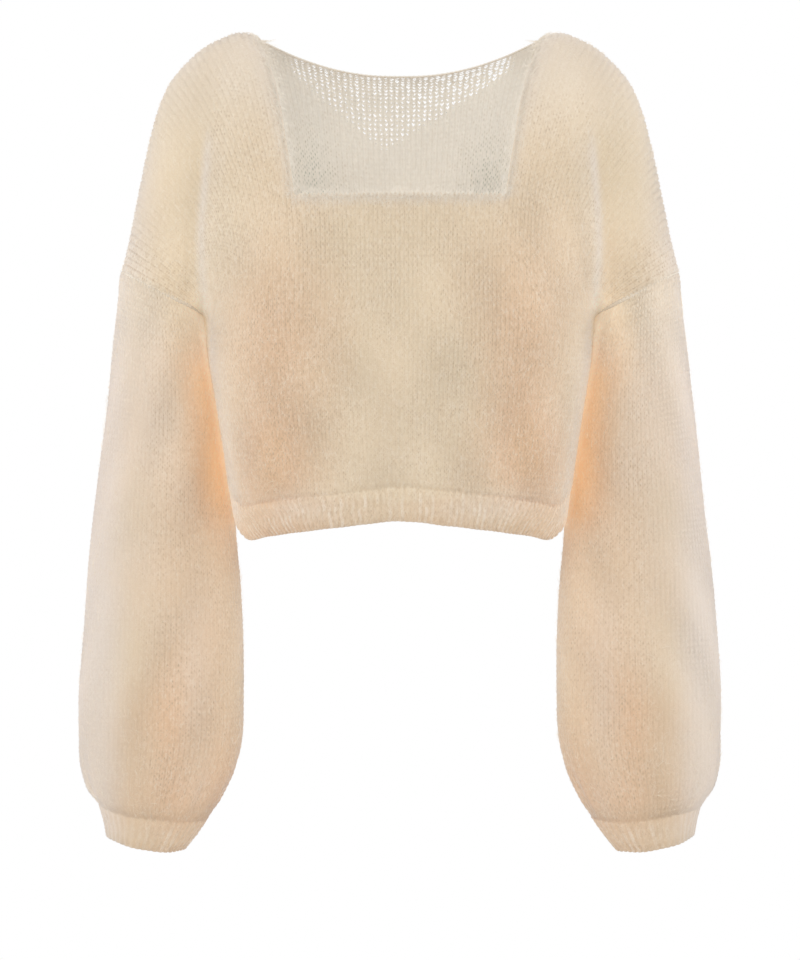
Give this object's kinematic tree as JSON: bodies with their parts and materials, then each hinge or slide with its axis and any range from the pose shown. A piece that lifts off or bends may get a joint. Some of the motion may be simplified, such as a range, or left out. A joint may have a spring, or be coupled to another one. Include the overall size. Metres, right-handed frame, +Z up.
{
  "type": "cropped knit pullover",
  "caption": "Cropped knitted pullover, worn hollow form, with a low square front neck, dropped shoulders, full balloon sleeves, ribbed cuffs and a ribbed hem.",
  "frame": {"origin": "midway between the tops of the two shoulders, where the wearer carries the garment", "axes": "+Z up, -Y out of the front of the garment, +X to the wearer's left"},
  "size_m": [0.554, 0.2326, 0.7011],
  "materials": {
    "body_knit": "cream brushed mohair stockinette, soft nap",
    "back_knit": "cream brushed mohair stockinette, open and sheer at the neck edge",
    "sleeve_knit": "cream brushed mohair stockinette, soft nap",
    "rib_knit": "cream knit, one by one rib"
  },
  "bodies": {
    "root": {"front_panel": "body_knit", "back_panel": "back_knit", "left_sleeve": "sleeve_knit", "right_sleeve": "sleeve_knit", "hem_band": "rib_knit", "left_cuff": "rib_knit", "right_cuff": "rib_knit"}
  },
  "joints": []
}
